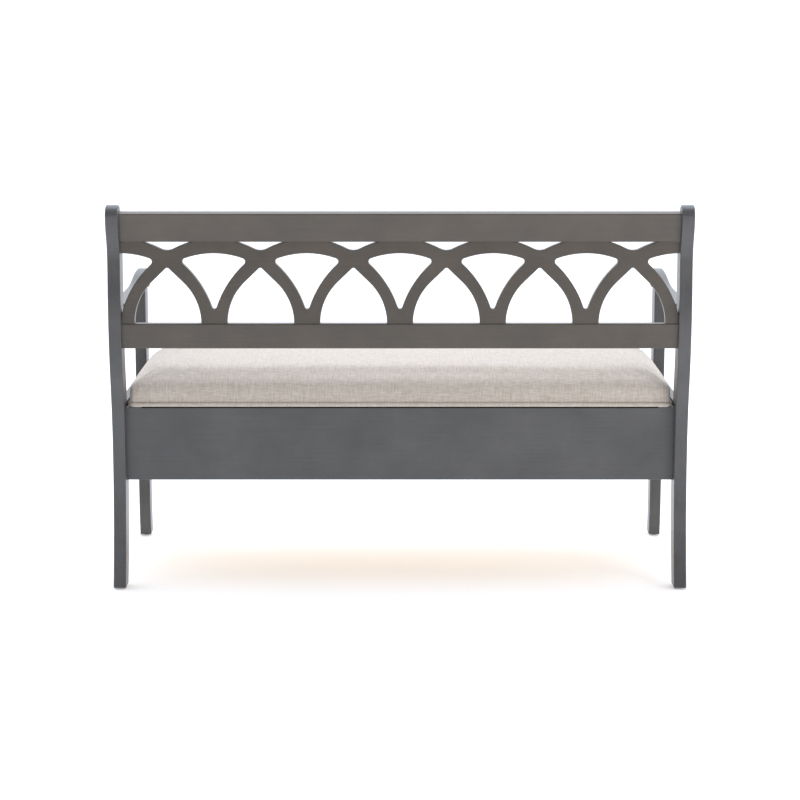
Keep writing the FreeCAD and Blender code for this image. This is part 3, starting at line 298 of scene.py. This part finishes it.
def painted_wood(name, along, paint):
    """Satin furniture paint over hardwood: brushed on, glazed and lacquered, so it shows soft
    brush marks along the grain, a cloudy tone and a dull sheen."""
    finish = bpy.context.scene.bench_finish
    material, shader = new_material(name)
    across = 1 / finish.brush_width
    stretch = [across * (0.02 if axis == along else 1.0) for axis in "XYZ"]
    base = linear(paint)
    glazed = tuple(c * (1 - finish.glaze_depth) ** 2 for c in base[:3]) + (1.0,)
    place = add_node(material, "ShaderNodeTexCoord").outputs["Object"]
    grain = add_node(material, "ShaderNodeMapping", inputs={"Vector": place, "Scale": stretch})
    marks = add_node(material, "ShaderNodeTexNoise", inputs={
        "Vector": grain.outputs["Vector"], "Scale": 1.0, "Detail": 3.0, "Roughness": 0.55})
    cloud = add_node(material, "ShaderNodeTexNoise", inputs={
        "Vector": place, "Scale": PAINT_CLOUDS, "Detail": 4.0, "Roughness": 0.6})
    blend = add_node(material, "ShaderNodeMath", {"operation": "MULTIPLY_ADD"}, {
        0: marks.outputs["Fac"], 1: 0.35, 2: cloud.outputs["Fac"]})
    tone = add_node(material, "ShaderNodeMapRange", inputs={
        "Value": blend.outputs["Value"], "From Min": 0.45, "From Max": 0.9})
    colour = add_node(material, "ShaderNodeMix", {"data_type": "RGBA"}, {
        "Factor": tone.outputs["Result"], 6: glazed, 7: base})
    gloss = add_node(material, "ShaderNodeMapRange", inputs={
        "Value": cloud.outputs["Fac"], "To Min": 0.34, "To Max": 0.48})
    relief = add_node(material, "ShaderNodeBump", inputs={
        "Height": marks.outputs["Fac"], "Strength": 0.12, "Distance": 0.3 * MM})
    plug(material, colour.outputs[2], shader.inputs["Base Color"])
    plug(material, gloss.outputs["Result"], shader.inputs["Roughness"])
    plug(material, relief.outputs["Normal"], shader.inputs["Normal"])
    shader.inputs["IOR"].default_value = 1.5
    shader.inputs["Coat Weight"].default_value = 0.25
    shader.inputs["Coat Roughness"].default_value = 0.3
    return material


def bare_softwood(name, along):
    """Planed pine left bare: pale, with darker latewood lines and an open, matt surface."""
    material, shader = new_material(name)
    place = add_node(material, "ShaderNodeTexCoord").outputs["Object"]
    stretch = [0.06 if axis == along else 1.0 for axis in "XYZ"]
    grain = add_node(material, "ShaderNodeMapping", inputs={"Vector": place, "Scale": stretch})
    rings = add_node(material, "ShaderNodeTexNoise", inputs={
        "Vector": grain.outputs["Vector"], "Scale": PINE_RINGS, "Detail": 5.0, "Roughness": 0.6,
        "Distortion": 0.8})
    fibres = add_node(material, "ShaderNodeTexNoise", inputs={
        "Vector": grain.outputs["Vector"], "Scale": PINE_FIBRES, "Detail": 2.0})
    blend = add_node(material, "ShaderNodeMath", {"operation": "MULTIPLY_ADD"}, {
        0: fibres.outputs["Fac"], 1: 0.25, 2: rings.outputs["Fac"]})
    colour = add_node(material, "ShaderNodeValToRGB", inputs={"Fac": blend.outputs["Value"]})
    ramp = colour.color_ramp.elements
    ramp[0].position, ramp[0].color = 0.45, linear("#B98F5C")
    ramp[1].position, ramp[1].color = 0.75, linear("#D9BC8E")
    relief = add_node(material, "ShaderNodeBump", inputs={
        "Height": blend.outputs["Value"], "Strength": 0.25, "Distance": 0.3 * MM})
    plug(material, colour.outputs["Color"], shader.inputs["Base Color"])
    plug(material, relief.outputs["Normal"], shader.inputs["Normal"])
    shader.inputs["Roughness"].default_value = 0.65
    return material


def plated_steel(name, dark, light, roughness):
    """Barrel-finished steel in the given colours, used for the zinc parts and for the near-black
    hinge that stands in for painted shade: faint clouding under a soft metal gloss.
    """
    material, shader = new_material(name)
    place = add_node(material, "ShaderNodeTexCoord").outputs["Object"]
    cloud = add_node(material, "ShaderNodeTexNoise", inputs={
        "Vector": place, "Scale": STEEL_CLOUDS, "Detail": 4.0})
    colour = add_node(material, "ShaderNodeMix", {"data_type": "RGBA"}, {
        "Factor": cloud.outputs["Fac"], 6: linear(dark), 7: linear(light)})
    gloss = add_node(material, "ShaderNodeMapRange", inputs={
        "Value": cloud.outputs["Fac"], "To Min": roughness, "To Max": roughness + 0.15})
    plug(material, colour.outputs[2], shader.inputs["Base Color"])
    plug(material, gloss.outputs["Result"], shader.inputs["Roughness"])
    shader.inputs["Metallic"].default_value = 1.0
    return material


def moulded(name, colour_hex, roughness, grit):
    """A moulded rubber or nylon part: even colour under a fine spark-eroded texture."""
    material, shader = new_material(name)
    place = add_node(material, "ShaderNodeTexCoord").outputs["Object"]
    texture = add_node(material, "ShaderNodeTexNoise", inputs={
        "Vector": place, "Scale": 1 / grit, "Detail": 2.0})
    base = linear(colour_hex)
    lighter = tuple(min(1.0, c * 1.35) for c in base[:3]) + (1.0,)
    colour = add_node(material, "ShaderNodeMix", {"data_type": "RGBA"}, {
        "Factor": texture.outputs["Fac"], 6: base, 7: lighter})
    relief = add_node(material, "ShaderNodeBump", inputs={
        "Height": texture.outputs["Fac"], "Strength": 0.3, "Distance": 0.1 * MM})
    plug(material, colour.outputs[2], shader.inputs["Base Color"])
    plug(material, relief.outputs["Normal"], shader.inputs["Normal"])
    shader.inputs["Roughness"].default_value = roughness
    return material


def linen_weave(name):
    """Plain-woven linen: uneven spun threads that cross at right angles, with long slubs, a
    dry, matt hand and a soft sheen at grazing angles. The bands of tone are about two threads
    wide, which is coarser than the real weave, so that they still show across a room."""
    finish = bpy.context.scene.bench_finish
    material, shader = new_material(name)
    source = add_node(material, "ShaderNodeTexCoord")
    place = add_node(material, "ShaderNodeSeparateXYZ", inputs={"Vector": source.outputs["Object"]})
    facing = add_node(material, "ShaderNodeSeparateXYZ",
                      inputs={"Vector": source.outputs["Normal"]})
    sideways = add_node(material, "ShaderNodeMath", {"operation": "ABSOLUTE"},
                        {0: facing.outputs["X"]})
    on_end = add_node(material, "ShaderNodeMath", {"operation": "GREATER_THAN"},
                      {0: sideways.outputs["Value"], 1: 0.75})
    swapped = add_node(material, "ShaderNodeCombineXYZ", inputs={
        "X": place.outputs["Y"], "Y": place.outputs["X"], "Z": place.outputs["Z"]})
    cloth = add_node(material, "ShaderNodeMix", {"data_type": "VECTOR"}, {
        "Factor": on_end.outputs["Value"], 4: source.outputs["Object"],
        5: swapped.outputs["Vector"]})
    pitch, slub = 1 / finish.thread, 1 / finish.slub
    threads = []
    for scale in ((slub, pitch * 0.5, pitch * 0.5), (pitch * 0.5, slub, slub)):
        run = add_node(material, "ShaderNodeMapping", inputs={
            "Vector": cloth.outputs[1], "Scale": scale})
        threads.append(add_node(material, "ShaderNodeTexNoise", inputs={
            "Vector": run.outputs["Vector"], "Scale": 1.0, "Detail": 2.5, "Roughness": 0.6}))
    fine = add_node(material, "ShaderNodeMapping", inputs={
        "Vector": cloth.outputs[1], "Scale": (pitch, pitch, pitch)})
    nap = add_node(material, "ShaderNodeTexNoise", inputs={
        "Vector": fine.outputs["Vector"], "Scale": 1.0, "Detail": 2.0})
    both = add_node(material, "ShaderNodeMath", {"operation": "ADD"}, {
        0: threads[0].outputs["Fac"], 1: threads[1].outputs["Fac"]})
    weave = add_node(material, "ShaderNodeMath", {"operation": "MULTIPLY_ADD"}, {
        0: nap.outputs["Fac"], 1: 0.6, 2: both.outputs["Value"]})
    tone = add_node(material, "ShaderNodeMapRange", inputs={
        "Value": weave.outputs["Value"], "From Min": 0.95, "From Max": 1.6})
    colour = add_node(material, "ShaderNodeMix", {"data_type": "RGBA"}, {
        "Factor": tone.outputs["Result"], 6: linear(finish.linen_dark),
        7: linear(finish.linen)})
    relief = add_node(material, "ShaderNodeBump", inputs={
        "Height": weave.outputs["Value"], "Strength": 0.5, "Distance": 0.6 * MM})
    plug(material, colour.outputs[2], shader.inputs["Base Color"])
    plug(material, relief.outputs["Normal"], shader.inputs["Normal"])
    shader.inputs["Roughness"].default_value = 0.9
    shader.inputs["Sheen Weight"].default_value = 0.25
    shader.inputs["Sheen Roughness"].default_value = 0.5
    shader.inputs["Specular IOR Level"].default_value = 0.25
    return material


# ---------------------------------------------------------------- operators for the frame

class BENCH_OT_paint_frame(bpy.types.Operator):
    """Paint the posts, legs, arms, rails, lattice and panels"""

    bl_idname = "bench.paint_frame"
    bl_label = "Paint the frame"

    def execute(self, context):
        finish = context.scene.bench_finish
        for (group, along), names in PAINTED.items():
            paint = finish.warm_paint if group == "rails" else finish.cool_paint
            material = painted_wood(f"satin_paint_{group}", along, paint)
            for name in names:
                put_material(NODES[name], material)
        return {"FINISHED"}


class BENCH_OT_finish_bare_wood(bpy.types.Operator):
    """Finish the floor, cleats, batten, dowels and lid board as bare wood"""

    bl_idname = "bench.finish_bare_wood"
    bl_label = "Finish the bare wood"

    def execute(self, context):
        for along, names in BARE.items():
            material = bare_softwood(f"bare_pine_along_{along.lower()}", along)
            for name in names:
                put_material(NODES[name], material)
        return {"FINISHED"}


class BENCH_OT_finish_hardware(bpy.types.Operator):
    """Finish the stays and screws in zinc, the hinge near black as painted shade, and the rubber
    and nylon
    """

    bl_idname = "bench.finish_hardware"
    bl_label = "Finish the hardware"

    def execute(self, context):
        zinc = plated_steel("zinc_plated_steel", "#8F9092", "#B9BABC", 0.3)
        for name in STEEL:
            put_material(NODES[name], zinc)
        # The hinge is made near black so that its knuckle below the welt shows as painted shade,
        # the dark seam between the cushion and the rear panel, not as lit metal.
        black = plated_steel("hinge_steel_dark_as_painted_shade", "#2B2825", "#3A3632", 0.45)
        for name in HINGE:
            put_material(NODES[name], black)
        put_material(NODES["lid_bumpers"], moulded("bumper_rubber", "#2A2928", 0.75, 0.5 * MM))
        put_material(NODES["foot_glides"], moulded("nylon_glide", "#34312D", 0.5, 0.4 * MM))
        return {"FINISHED"}


# ---------------------------------------------------------------- upholstery

def round_plan(obj, rear_radius, front_radius, middle_y):
    """Bevels the upright edges, the rear pair and the front pair each by its own radius."""
    bpy.ops.object.mode_set(mode="EDIT")
    for radius, rear in ((rear_radius, True), (front_radius, False)):
        def upright(edge):
            a, b = (vert.co for vert in edge.verts)
            plumb = (a.xy - b.xy).length < TOUCHING
            corner = abs(abs(a.x) - obj.dimensions.x / 2) < TOUCHING
            return plumb and corner and (a.y > middle_y) == rear
        select_where(obj, edges=upright)
        bpy.ops.mesh.bevel(offset=radius, segments=8, affect="EDGES", profile=0.5)
    bpy.ops.object.mode_set(mode="OBJECT")


def remesh(obj, cell):
    select_only(obj)
    obj.data.remesh_voxel_size = cell
    bpy.ops.object.voxel_remesh()


def raise_dome(obj, settings):
    """Lowers the block's top towards its edges, so that it rises from upright sides as a pad
    does whose cover is pulled down all round."""
    corners = [Vector(corner) for corner in obj.bound_box]
    low, high = corners[0], corners[6]

    def share(inward):
        reach = min(max(inward / settings.dome, 0), 1)
        return (1 - (1 - reach) ** settings.fullness) ** (1 / settings.fullness)

    full = high.z - low.z
    for vert in obj.data.vertices:
        across = min(vert.co.x - low.x, high.x - vert.co.x)
        along = min(vert.co.y - low.y, high.y - vert.co.y)
        height = settings.border + (full - settings.border) * share(across) * share(along)
        vert.co.z = low.z + (vert.co.z - low.z) * height / full


def swell(obj, settings, seat_z):
    """Inflates the cover by cloth pressure and caps how far each point moves."""
    rest = [vert.co.copy() for vert in obj.data.vertices]
    held = obj.vertex_groups.new(name="held")
    held.add([i for i, co in enumerate(rest) if co.z < seat_z], 1.0, "REPLACE")
    select_only(obj)
    bpy.ops.object.modifier_add(type="CLOTH")
    cloth = obj.modifiers[-1].settings
    cloth.use_pressure = True
    cloth.uniform_pressure_force = settings.pressure
    cloth.effector_weights.gravity = 0.0
    cloth.vertex_group_mass = held.name
    cloth.quality = 5
    for number in range(1, CLOTH_FRAMES + 1):
        bpy.context.scene.frame_set(number)
    bpy.ops.object.modifier_apply(modifier=obj.modifiers[-1].name)
    for vert, start in zip(obj.data.vertices, rest):
        move = vert.co - start
        limits = (settings.belly, settings.belly, settings.crown)
        vert.co = start + Vector(limit * math.tanh(step / limit)
                                 for step, limit in zip(move, limits))


class BENCH_OT_make_cushion(bpy.types.Operator):
    """Make the padded seat: a crowned pad whose linen is drawn down over the lid's edge"""

    bl_idname = "bench.make_cushion"
    bl_label = "Make the seat cushion"

    def execute(self, context):
        settings = context.scene.bench_cushion
        low, high = (Vector(corner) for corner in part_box("seat_cushion"))
        room = Vector((0, 0, settings.crown - CROWN_ABOVE))
        cushion = block("upholstered_seat", low + COVER_GAP - COVER_TUCK, high - COVER_GAP - room)
        round_plan(cushion, COVER_REAR_CORNER, COVER_FRONT_CORNER, (low.y + high.y) / 2)
        remesh(cushion, settings.cell)
        raise_dome(cushion, settings)
        remesh(cushion, settings.cell)
        swell(cushion, settings, low.z + COVER_HELD)
        select_only(cushion)
        bpy.ops.object.modifier_add(type="SMOOTH")
        cushion.modifiers[-1].iterations = 2
        bpy.ops.object.modifier_add(type="SUBSURF")
        cushion.modifiers[-1].levels = cushion.modifiers[-1].render_levels = 1
        apply_modifiers(cushion)
        bpy.ops.object.shade_smooth()
        put_material(cushion, linen_weave("linen_cover"))
        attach(cushion, "lid")
        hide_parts("seat_cushion")
        return {"FINISHED"}


class BENCH_OT_make_welt(bpy.types.Operator):
    """Make the piping round the foot of the cushion: a cord wrapped in the same linen"""

    bl_idname = "bench.make_welt"
    bl_label = "Make the welt"

    def execute(self, context):
        low, high = (Vector(corner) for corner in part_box("cushion_welt"))
        radius = (high.z - low.z) / 2
        inset = Vector((radius, radius, 0))
        middle = (low + high) / 2
        bpy.ops.object.select_all(action="DESELECT")
        bpy.ops.mesh.primitive_plane_add(
            size=1, location=(middle.x, middle.y, middle.z - WELT_FULLER))
        welt = context.object
        welt.name = "linen_welt"
        welt.scale = (high - low - 2 * inset).to_tuple()[:2] + (1,)
        bpy.ops.object.transform_apply(location=True, rotation=True, scale=True)
        near, far = low + inset, high - inset
        bpy.ops.object.mode_set(mode="EDIT")
        for radius_in_plan, rear in ((WELT_REAR_CORNER, True), (WELT_FRONT_CORNER, False)):
            def at_corner(vert):
                on_end = abs(abs(vert.co.x) - far.x) < TOUCHING
                on_edge = min(abs(vert.co.y - far.y), abs(vert.co.y - near.y)) < TOUCHING
                return on_end and on_edge and (vert.co.y > middle.y) == rear
            select_where(welt, verts=at_corner)
            bpy.ops.mesh.bevel(offset=radius_in_plan, segments=10, affect="VERTICES", profile=0.5)
        bpy.ops.mesh.select_all(action="SELECT")
        bpy.ops.mesh.delete(type="ONLY_FACE")
        bpy.ops.object.mode_set(mode="OBJECT")
        bpy.ops.object.convert(target="CURVE")
        welt = context.object
        welt.data.bevel_depth = radius + WELT_FULLER
        welt.data.bevel_resolution = 5
        bpy.ops.object.convert(target="MESH")
        welt = context.object
        bpy.ops.object.shade_smooth()
        put_material(welt, linen_weave("linen_welt_cover"))
        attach(welt, "lid")
        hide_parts("cushion_welt")
        return {"FINISHED"}


# ---------------------------------------------------------------- stage

def area_light(name, place, target, size, power):
    light = bpy.data.lights.new(name, "AREA")
    light.shape = "DISK"
    light.size = size
    light.energy = power
    lamp = bpy.data.objects.new(name, light)
    lamp.location = place
    lamp.rotation_euler = (Vector(target) - Vector(place)).to_track_quat("-Z", "Y").to_euler()
    bpy.context.collection.objects.link(lamp)
    return lamp


class BENCH_OT_set_stage(bpy.types.Operator):
    """Set the pale floor, the soft light and the camera behind the bench"""

    bl_idname = "bench.set_stage"
    bl_label = "Set the stage"

    def execute(self, context):
        stage = context.scene.bench_stage
        bpy.ops.object.select_all(action="DESELECT")
        bpy.ops.mesh.primitive_plane_add(size=FLOOR_SIZE, location=(0, 0, 0))
        floor = context.object
        floor.name = "studio_floor"
        acrylic, shader = new_material("backlit_white_acrylic")
        shader.inputs["Base Color"].default_value = linear("#F7F7F7")
        shader.inputs["Roughness"].default_value = 0.9
        shader.inputs["Specular IOR Level"].default_value = 0.0
        shader.inputs["Emission Color"].default_value = linear("#FFFFFF")
        shader.inputs["Emission Strength"].default_value = stage.floor_glow
        put_material(floor, acrylic)

        world = bpy.data.worlds.new("studio")
        context.scene.world = world
        world.use_nodes = True
        sky = world.node_tree.nodes["Background"]
        place = add_node(world, "ShaderNodeTexCoord")
        way = add_node(world, "ShaderNodeSeparateXYZ",
                       inputs={"Vector": place.outputs["Generated"]})
        room = add_node(world, "ShaderNodeMapRange", inputs={
            "Value": way.outputs["Y"], "From Min": -0.2, "From Max": 0.52,
            "To Min": stage.front_light, "To Max": stage.rear_light})
        ceiling = add_node(world, "ShaderNodeMath", {"operation": "MULTIPLY_ADD"}, {
            0: way.outputs["Z"], 1: stage.top_light, 2: room.outputs["Result"]})
        plug(world, ceiling.outputs["Value"], sky.inputs["Strength"])
        sky.inputs["Color"].default_value = linear(stage.tint)

        overhead = area_light("overhead", *OVERHEAD_LIGHT, stage.overhead)
        overhead.data.color = linear(stage.overhead_tint)[:3]
        area_light("behind_right", *SIDE_LIGHT, stage.side)

        rear_feet = CAD_BOX[1].y - REAR_FEET_INSET
        camera = bpy.data.objects.new("camera", bpy.data.cameras.new("camera"))
        camera.data.lens = stage.lens
        camera.data.sensor_width = 36.0
        camera.data.shift_y = stage.shift
        camera.location = (0, rear_feet + stage.distance, stage.height)
        camera.rotation_euler = (math.pi / 2 - stage.tilt, 0, math.pi)
        context.collection.objects.link(camera)
        context.scene.camera = camera
        context.scene.view_settings.view_transform = "Standard"
        return {"FINISHED"}


# ---------------------------------------------------------------- panel and registration

OPERATORS = (BENCH_OT_paint_frame, BENCH_OT_finish_bare_wood, BENCH_OT_finish_hardware,
             BENCH_OT_make_cushion, BENCH_OT_make_welt, BENCH_OT_set_stage)


class BENCH_PT_sidebar(bpy.types.Panel):
    """The bench's pieces, in the order they are made"""

    bl_idname = "BENCH_PT_sidebar"
    bl_label = "Storage bench"
    bl_space_type = "VIEW_3D"
    bl_region_type = "UI"
    bl_category = "Bench"

    def draw(self, context):
        for name, group in SETTINGS.items():
            box = self.layout.box()
            for prop in group.__annotations__:
                box.prop(getattr(context.scene, name), prop)
        for operator in OPERATORS:
            self.layout.operator(operator.bl_idname)


CLASSES = (*SETTINGS.values(), *OPERATORS, BENCH_PT_sidebar)


def register():
    for cls in CLASSES:
        bpy.utils.register_class(cls)
    for name, group in SETTINGS.items():
        setattr(bpy.types.Scene, name, bpy.props.PointerProperty(type=group))


def unregister():
    for name in SETTINGS:
        delattr(bpy.types.Scene, name)
    for cls in reversed(CLASSES):
        bpy.utils.unregister_class(cls)


def main():
    register()
    for operator in OPERATORS:
        group, action = operator.bl_idname.split(".")
        getattr(getattr(bpy.ops, group), action)()


if __name__ == "__main__":
    main()
